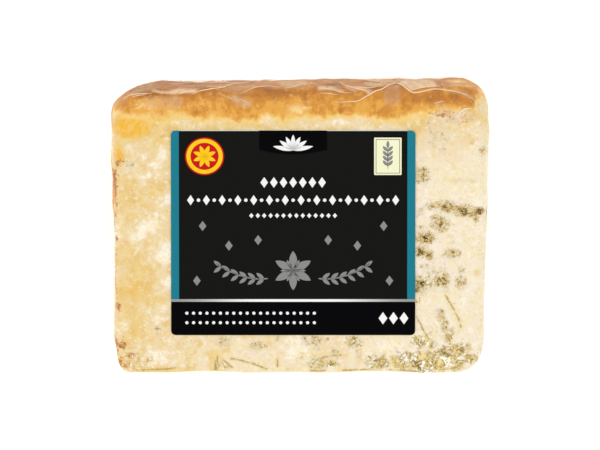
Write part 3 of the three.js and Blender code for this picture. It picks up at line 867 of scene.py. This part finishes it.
def print_material(name, colour):
    """Satin ink on paper, or the paper itself."""
    shader = Shader(name)
    ink = srgb(*colour)
    darker = [0.9 * value for value in ink[:3]] + [1]
    # Painted reflection: the silver ink is brightest at the label's middle and greyer towards its sides.
    if name in INKS_BESIDE_SHEEN:
        along = shader.add("ShaderNodeSeparateXYZ", {0: shader.place}, "X")
        from_middle = shader.math("ABSOLUTE", along - LABEL_ALONG * MM)
        ink = shader.blend(from_middle.fade(*SIDES), ink, srgb(*INKS_BESIDE_SHEEN[name]))
    fibres = shader.noise(0.5, 3, 0.6)
    return shader.principled(
        Base_Color=shader.blend(fibres.fade(0.62, 0.9), ink, darker),
        Roughness=0.5,
        Specular_IOR_Level=0.03,
        Normal=shader.bump(fibres, 0.02, 0.3),
    )


# ------------------------------------------------------------------ the label

PAPER_LIFT = 0.05  # from the film to the paper's underside
INK_STEP = 0.02  # each layer of print lies this much above the one before
INK_DEPTH = 0.1  # how far print reaches down into the paper

# The print's places and sizes are millimetres from the label's middle.
RIGHT = LABEL_WIDTH / 2
TOP = LABEL_HEIGHT / 2
FOOT_TOP = -24.53  # the black foot band's upper edge
RULE_TOP = -23.6  # the silver rule's upper edge
BAND_WIDTH = 2.75  # the coloured bands down both sides
FIELD_INSET = 0.15  # a thin edge of paper shows above the black field
CREST = SimpleNamespace(half_width=11.6, low=29.6, bow=1.6, bow_steps=16, leaves_from=29.4, leaf_width=1.5)
PALMETTE = [(0, 5.6), (27, 5.4), (-27, 5.4), (53, 5.8), (-53, 5.8), (78, 7), (-78, 7)]  # leaf lean, length
SEAL = (-30.3, 27.3)
STAMP = (32.4, 27.3)
EAR_RISES = (-3.4, -1.7, 0, 1.7)  # the stamp's ear of leaves has a pair at each
ROSETTE = (0, -13.4)
DOTS = [(-31, 2.5), (-22, -4.5), (31, 2.5), (22, -4.5), (-12, -2.5), (12, -2.5), (-33, -17), (33, -17)]
SPRIG = SimpleNamespace(start=(8.5, -16.2), reach=(17.5, 5.2), sag=7.5, pieces=12)  # the stem of one
CORNER_ANGLES = range(0, 91, 15)
DISC_CORNERS = 64
LEAF_STEPS = 8
LEAF_FULLNESS = 0.8  # below 1, a leaf is fuller than a sine curve


def round_points(u, v, radius, angles):
    """Points round a centre, at angles in degrees."""
    turns = [math.radians(angle) for angle in angles]
    return [(u + radius * math.cos(turn), v + radius * math.sin(turn)) for turn in turns]


def disc(u, v, radius):
    return round_points(u, v, radius, np.linspace(0, 360, DISC_CORNERS, endpoint=False))


def lozenge(u, v, width, height):
    return [(u + width / 2, v), (u, v + height / 2), (u - width / 2, v), (u, v - height / 2)]


def rounded_rectangle(u, v, width, height, corner):
    points = []
    for u_side, v_side, start in ((1, 1, 0), (-1, 1, 90), (-1, -1, 180), (1, -1, 270)):
        centre = (u + u_side * (width / 2 - corner), v + v_side * (height / 2 - corner))
        points += round_points(*centre, corner, [start + angle for angle in CORNER_ANGLES])
    return points


def leaf(u, v, length, width, degrees):
    """A leaf that grows from a point in one direction and comes to a tip."""
    turn = math.radians(degrees)
    shares = [step / LEAF_STEPS for step in range(LEAF_STEPS + 1)]
    half = [(length * share, width / 2 * math.sin(math.pi * share) ** LEAF_FULLNESS) for share in shares]
    outline = half + [(x, -y) for x, y in half[-2:0:-1]]
    return [(u + x * math.cos(turn) - y * math.sin(turn), v + x * math.sin(turn) + y * math.cos(turn))
            for x, y in outline]


def rosette(u, v, petals, length, width, turn):
    return [leaf(u, v, length, width, turn + 360 * i / petals) for i in range(petals)]


def row(shape, size, count, pitch, u, v):
    """A row of one shape, a pitch apart, with its middle at a place."""
    start = u - pitch * (count - 1) / 2
    return [shape(start + pitch * i, v, *size) for i in range(count)]


def side_band(side):
    """A coloured band down one side of the label, round at its upper corner."""
    corner = round_points(RIGHT - LABEL_CORNER, TOP - LABEL_CORNER, LABEL_CORNER, CORNER_ANGLES)
    points = [(RIGHT - BAND_WIDTH, RULE_TOP), (RIGHT, RULE_TOP)] + corner + [(RIGHT - BAND_WIDTH, TOP)]
    return points if side > 0 else [(-u, v) for u, v in reversed(points)]


def foot_band():
    """The label's foot, round at its lower corners."""
    whole = rounded_rectangle(0, 0, LABEL_WIDTH, LABEL_HEIGHT, LABEL_CORNER)
    return [(-RIGHT, FOOT_TOP)] + [(u, v) for u, v in whole if v < 0] + [(RIGHT, FOOT_TOP)]


def crest_plate():
    """A plain plate at the label's top, with a bowed lower edge."""
    shares = np.linspace(-1, 1, CREST.bow_steps + 1)
    lower = [(CREST.half_width * share, CREST.low - CREST.bow * (1 - share * share)) for share in shares]
    return lower + [(CREST.half_width, TOP), (-CREST.half_width, TOP)]


def sprig(side):
    """A bowed stem with leaves in pairs, growing outwards from beside the rosette."""
    (u_start, v_start), (u_reach, v_reach) = SPRIG.start, SPRIG.reach
    stem = []
    for share in np.arange(SPRIG.pieces + 1) / SPRIG.pieces:
        u, v = u_start + u_reach * share, v_start + v_reach * share
        stem.append((side * u, v - SPRIG.sag * share * (1 - share)))
    shapes = []
    for (u0, v0), (u1, v1) in zip(stem, stem[1:]):
        heading = math.degrees(math.atan2(v1 - v0, u1 - u0))
        shapes.append(leaf(u0, v0, 2.2, 0.5, heading))
    outwards = 0 if side > 0 else 180
    for u, v in stem[1::2]:
        shapes += [leaf(u, v, 3.4, 1.3, outwards + lean * side) for lean in (38, -38)]
    return shapes


def label_shapes():
    """The label's print as [slot, layer, outlines]."""
    inset = 2 * FIELD_INSET
    field = rounded_rectangle(0, 0, LABEL_WIDTH - inset, LABEL_HEIGHT - inset, LABEL_CORNER)
    rule = [(-RIGHT, FOOT_TOP), (RIGHT, FOOT_TOP), (RIGHT, RULE_TOP), (-RIGHT, RULE_TOP)]
    words = (
        row(lozenge, (2.6, 3.8), 7, 3.3, 0, 18)
        + row(lozenge, (2.4, 3.6), 14, 5.4, 0, 11.7)
        + row(disc, (0.6,), 13, 5.4, 0, 11.7)
        + row(lozenge, (1.5, 1.8), 14, 2.2, 0, 6.2)
        + row(disc, (0.55,), 20, 2.3, -14.6, -28.6)
        + row(disc, (0.55,), 20, 2.3, -14.6, -32)
        + row(lozenge, (3, 4.4), 3, 3.6, 34.4, -30.4)
    )
    palmette = [leaf(0, CREST.leaves_from, length, CREST.leaf_width, 90 + lean) for lean, length in PALMETTE]
    flower = rosette(*ROSETTE, 6, 7, 2.7, 90) + rosette(*ROSETTE, 6, 4.4, 1.2, 60)
    dots = [lozenge(u, v, 2.6, 3.6) for u, v in DOTS]
    stamp_u, stamp_v = STAMP
    ear = [leaf(stamp_u, stamp_v + rise, 2.6, 1.1, 90 + lean) for rise in EAR_RISES for lean in (42, -42)]
    ear += [leaf(stamp_u, stamp_v + 2.8, 2.8, 1.1, 90), leaf(stamp_u, stamp_v - 5, 9, 0.5, 90)]
    return [
        ("label_field", 0, [field]),
        ("label_teal", 1, [side_band(-1), side_band(1)]),
        ("label_foot", 1, [foot_band()]),
        ("label_silver", 2, [rule]),
        ("label_foot", 1, [crest_plate()]),
        ("label_white", 2, words + palmette),
        ("label_grey", 2, flower + sprig(-1) + sprig(1) + dots),
        ("label_red", 2, [disc(*SEAL, 6.7)]),
        ("label_gold", 3, [disc(*SEAL, 6.2)]),
        ("label_red", 4, [disc(*SEAL, 4.8)]),
        ("label_gold", 5, rosette(*SEAL, 8, 4.1, 1.5, 22.5)),
        ("label_cream", 2, [rounded_rectangle(*STAMP, 9.4, 13.3, 0.3)]),
        ("label_grey", 3, [rounded_rectangle(*STAMP, 8.3, 12.2, 0.2)]),
        ("label_cream", 4, [rounded_rectangle(*STAMP, 7.8, 11.7, 0.2)]),
        ("label_grey", 5, ear),
    ]


def prism(outline, low, high, first):
    """A flat closed shape between two heights over the upper face, with its vertices numbered from first."""
    count = len(outline)
    vertices = [to_part(face_point(LABEL_ALONG + u, LABEL_FROM_AXIS + v, height))
                for height in (low, high) for u, v in outline]
    faces = []
    for a, b, c in tessellate_polygon([[Vector((u, v, 0)) for u, v in outline]]):
        faces += [(a, b, c), (count + c, count + b, count + a)]
    for i in range(count):
        j = (i + 1) % count
        faces.append((i, j, count + j, count + i))
    return vertices, [tuple(first + corner for corner in face) for face in faces]


# ------------------------------------------------------------------ the pieces

def make_cheese():
    grid = wedge_grid("cheese", CHEESE_STEPS)
    region = regions(grid)
    paint_cheese(grid, region)
    gathers = RIND_FOLLOWS_GATHERS * gathered_film(grid, region)
    move_vertices(grid, drawn_film(grid, region) + gathers - CHEESE_UNDER_FILM, CHEESE_UNDER_FILM)
    grid.mesh.materials.append(cheese_material())
    return link(grid.mesh)


# How strongly the film's fine gathers show.
GATHERED_BEHIND = 0.38
GATHERED_OVER_ENDS = 0.15


def make_film():
    grid = wedge_grid("film", FILM_STEPS)
    region = regions(grid)
    move_vertices(grid, drawn_film(grid, region) + gathered_film(grid, region), 0)
    set_attribute(grid, "haze", facet_haze(grid.along, grid.around))
    behind = GATHERED_BEHIND * fade(grid.around, (24, 34)) * fade(grid.from_axis, (92, 99))
    set_attribute(grid, "gathered", np.maximum(behind, GATHERED_OVER_ENDS * region.ends))
    grid.mesh.materials.append(film_material())
    return link(grid.mesh)


# The ribbons laid along these are painted pale and glowing as painted highlights on the film's creases.
FINE_CREASES = [  # [along, around] points of hairline folds, with the width of each in millimetres
    (0.6, [(11.6, 2.3), (15.8, 2.9), (19.9, 3.3), (22.6, 4.4), (26, 6.3), (28.8, 7.9), (31.2, 10.8),
           (33.2, 13.3), (34.9, 10.8), (37.3, 7.4), (39.4, 6.1), (42.8, 6.7), (45.9, 7.5), (49.7, 7.2),
           (53.4, 6.5), (57.2, 5.3), (59.9, 4.2)]),
    (0.6, [(18.2, 29.5), (22.3, 22.5), (27.1, 16.5), (31.8, 12.8)]),
    (0.5, [(13.4, 19), (16.8, 10.8), (19.5, 8.5), (21.9, 7.4), (23.6, 5.9), (24.3, 4.9)]),
    (0.4, [(19.2, 9.8), (23.6, 8.8), (28.4, 8.8)]),
    (0.5, [(36, 24.2), (38.7, 27.8), (41.4, 26)]),
    (0.45, [(38.4, 6.8), (41.4, 7.7), (45.5, 8.8), (48.3, 8.5)]),
    (0.35, [(46.2, 2.8), (47.9, 3.2), (49.7, 3.5)]),
    (0.9, [(53.8, -1.9), (55.5, -0.7), (57.2, 0.4), (59.2, 1.7)]),
    (0.4, [(54.7, -2.5), (56.8, -3), (59.4, -3.2)]),
    (0.5, [(51.4, 9.8), (53.8, 11.5), (55.8, 10.8)]),
    (0.35, [(60, 4.8), (60.3, 3.4), (60, 2)]),
    (0.5, [(-59.9, 9.8), (-57.5, 9), (-55.5, 8.4), (-53.4, 7.8), (-50.3, 7.2)]),
    (0.4, [(-57.2, 8), (-54.5, 7.4), (-52.1, 7)]),
    (0.6, [(-37.3, 5.9), (-33.9, 7.4), (-30.5, 8.8), (-26.4, 10.8), (-21.9, 16.5), (-16.8, 22.5)]),
    (0.4, [(-31.8, 9.8), (-28.4, 11.5), (-25.3, 10.8)]),
    (0.5, [(-44.9, 20.8), (-37.3, 22.5), (-29.8, 22.5), (-20.2, 25)]),
    (0.45, [(-20.2, 7), (-17.5, 8.5), (-14.7, 9.5), (-12.7, 10.3), (-9.9, 11.5), (-6.8, 11.2)]),
    (0.45, [(-5.1, 9.5), (-3.1, 10.3), (-0.3, 11.5), (1.7, 13.3)]),
    (0.4, [(1.4, 10.8), (3.1, 14.3), (4.5, 17.7), (6.5, 14.3)]),
    (0.45, [(6.5, 9.1), (9.2, 8.8), (12, 8.2), (15.4, 7), (18.2, 6.7)]),
    (0.35, [(7.2, 6.7), (10.6, 6.5), (13.4, 6.1)]),
    (0.25, [(-24.4, 5.6), (-23.6, 4.8), (-22.8, 4.4)]),
    (0.22, [(-20.2, 4.6), (-18.4, 3.6), (-16.8, 2.4)]),
    (0.45, BACK_CREASES[0]),
    (0.4, BACK_CREASES[1]),
    (0.35, [(-17, 25), (-8, 40), (-2, 52)]),
    (0.35, [(20, 20), (34, 34), (44, 40), (56, 41)]),
    (0.35, [(34, 16), (44, 26), (57, 30)]),
    (0.3, [(-40, 30), (-46, 44), (-44, 58)]),
]
FOLD_STEP = 0.5
FOLD_RISE = 0.12
FOLD_FULLNESS = 0.6  # the power of the sine curve along which a fold tapers to its ends
FOLD_SINK = 0.03  # a fold's two lower edges lie this deep in the film
REACH_OVER_FILM = 6  # the rays that find the film start this far outside the plain wedge
SECTION_MIDDLE = 60 * BISECTOR  # and aim at this place in the section


def smooth_route(route):
    """A Catmull-Rom curve through a route's points, as points about FOLD_STEP apart or less."""
    points = [np.array(point, dtype=float) for point in route]
    points = [2 * points[0] - points[1]] + points + [2 * points[-1] - points[-2]]
    curve = []
    for p0, p1, p2, p3 in zip(points, points[1:], points[2:], points[3:]):
        count = max(2, math.ceil(np.linalg.norm(p2 - p1) / FOLD_STEP))
        for t in np.arange(count) / count:
            curve.append(0.5 * (2 * p1 + (p2 - p0) * t + (2 * p0 - 5 * p1 + 4 * p2 - p3) * t * t
                                + (3 * p1 - p0 - 3 * p2 + p3) * t ** 3))
    return curve + [points[-2]]


def crest_on_film(route, tree):
    """Where a curve through [along, around] points lies on the film, with the film's normals."""
    outline, around, _ = section_outline(FILM_STEPS)
    order = np.argsort(around)
    crest = []
    for u, v in smooth_route(route):
        y, z = (np.interp(v, around[order], outline[order, axis]) for axis in (0, 1))
        inward = np.array([0, *(SECTION_MIDDLE - (y, z))])
        inward /= np.linalg.norm(inward)
        start = np.array([u, y, z]) - REACH_OVER_FILM * inward
        spot, normal, _, _ = tree.ray_cast(Vector(to_part(start)), Vector(inward))
        if spot:
            crest.append((spot / MM, normal))
    return crest


def make_fold_highlights(film):
    """Slim ridges of doubled film along the creases, painted pale and glowing as the creases' painted
    highlights.
    """
    tree = BVHTree.FromObject(film, bpy.context.evaluated_depsgraph_get())
    vertices, faces = [], []
    for width, route in FINE_CREASES:
        crest = crest_on_film(route, tree)
        first = len(vertices)
        for i, (spot, normal) in enumerate(crest):
            ahead = crest[min(i + 1, len(crest) - 1)][0] - crest[max(i - 1, 0)][0]
            taper = math.sin(math.pi * (i + 0.5) / len(crest)) ** FOLD_FULLNESS
            aside = width / 2 * taper * normal.cross(ahead).normalized()
            foot = spot - FOLD_SINK * normal
            vertices += [foot - aside, foot + aside, spot + FOLD_RISE * taper * normal]
        for here in range(first, len(vertices) - 3, 3):
            faces += [(here + a, here + b, here + 3 + b, here + 3 + a) for a, b in ((0, 1), (1, 2), (2, 0))]
        last = len(vertices) - 3
        faces += [(first + 2, first + 1, first), (last, last + 1, last + 2)]
    mesh = new_mesh("film_fold_highlights", [vertex * MM for vertex in vertices], faces, fold_highlight_material())
    mesh.shade_smooth()
    return link(mesh)


def make_label():
    """The paper, and each shape of print as a closed prism that stands out of it."""
    paper_top = PAPER_LIFT + LABEL_THICKNESS
    paper = rounded_rectangle(0, 0, LABEL_WIDTH, LABEL_HEIGHT, LABEL_CORNER)
    layers = [("label_paper", PAPER_LIFT, paper_top, [paper])]
    for slot, layer, outlines in label_shapes():
        layers.append((slot, paper_top - INK_DEPTH, paper_top + INK_STEP * (layer + 1), outlines))
    vertices, faces, slots = [], [], []
    names = list(INKS)
    for slot, low, high, outlines in layers:
        for outline in outlines:
            more_vertices, more_faces = prism(outline, low, high, len(vertices))
            vertices += more_vertices
            faces += more_faces
            slots += [names.index(slot)] * len(more_faces)
    materials = [print_material(name, colour) for name, colour in INKS.items()]
    mesh = new_mesh("label_sheet", vertices, faces, *materials)
    mesh.polygons.foreach_set("material_index", slots)
    return link(mesh)


def add_piece(piece, node):
    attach(piece, "root")
    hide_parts(node)


# ------------------------------------------------------------------ floor, light and camera

FLOOR_REACH = 4  # in metres, from the middle to each side
SOFTBOXES = [  # place and size in metres, and power in watts
    ("key", (-0.7, -0.5, 1.5), 1.2, 6),
    ("fill", (0.9, -0.7, 1.1), 1.0, 1.5),
    ("back", (0.1, 1.0, 1.3), 1.0, 1.5),
]
SKY_STRENGTH = 0.82


def floor():
    shader = Shader("studio_floor")
    tone = shader.blend(shader.noise(300, 2), srgb(250, 250, 250), srgb(246, 246, 246))
    lit_table = shader.principled(
        Base_Color=tone,
        Roughness=0.9,
        Specular_IOR_Level=0.1,
        Emission_Color=(1, 1, 1, 1),
        Emission_Strength=0.35,
    )
    corners = [(FLOOR_REACH * x, FLOOR_REACH * y, 0) for x, y in ((-1, -1), (1, -1), (1, 1), (-1, 1))]
    link(new_mesh("floor", corners, [(0, 1, 2, 3)], lit_table))


def studio():
    for name, place, size, power in SOFTBOXES:
        light = bpy.data.lights.new(name, "AREA")
        light.shape = "SQUARE"
        light.size = size
        light.energy = power
        lamp = bpy.data.objects.new(name, light)
        lamp.location = place
        lamp.rotation_euler = (-Vector(place)).to_track_quat("-Z", "Y").to_euler()
        bpy.context.scene.collection.objects.link(lamp)
    world = bpy.data.worlds.new("studio")
    world.use_nodes = True
    background = world.node_tree.nodes["Background"]
    background.inputs["Color"].default_value = (1, 1, 1, 1)
    background.inputs["Strength"].default_value = SKY_STRENGTH
    bpy.context.scene.world = world
    bpy.context.scene.view_settings.view_transform = "Standard"


CAMERA_ELEVATION = math.radians(68.5)
CAMERA_DISTANCE = 6  # in metres
FRAME_WIDTH_PIXELS = 600
PIXELS_PER_MM = 2.92
LABEL_LEFT_OF_MIDDLE = 2.35  # from the label's middle to the picture's, in millimetres
LABEL_BELOW_MIDDLE = 2.76
SENSOR_WIDTH = 36


def camera():
    look = Vector((0, math.cos(CAMERA_ELEVATION), -math.sin(CAMERA_ELEVATION)))
    up = Vector((0, math.sin(CAMERA_ELEVATION), math.cos(CAMERA_ELEVATION)))
    right = look.cross(up)
    target = Vector(to_part(LABEL_MIDDLE)) + (right * LABEL_LEFT_OF_MIDDLE + up * LABEL_BELOW_MIDDLE) * MM
    data = bpy.data.cameras.new("camera")
    data.sensor_width = SENSOR_WIDTH
    data.lens = SENSOR_WIDTH * CAMERA_DISTANCE * PIXELS_PER_MM / (FRAME_WIDTH_PIXELS * MM)
    taker = bpy.data.objects.new("camera", data)
    taker.location = target - look * CAMERA_DISTANCE
    taker.rotation_euler = look.to_track_quat("-Z", "Y").to_euler()
    bpy.context.scene.collection.objects.link(taker)
    bpy.context.scene.camera = taker


camera()
studio()
floor()
add_piece(make_cheese(), "wrapped_wedge")
film = make_film()
add_piece(film, "wrapped_wedge")
add_piece(make_fold_highlights(film), "wrapped_wedge")
add_piece(make_label(), "label")
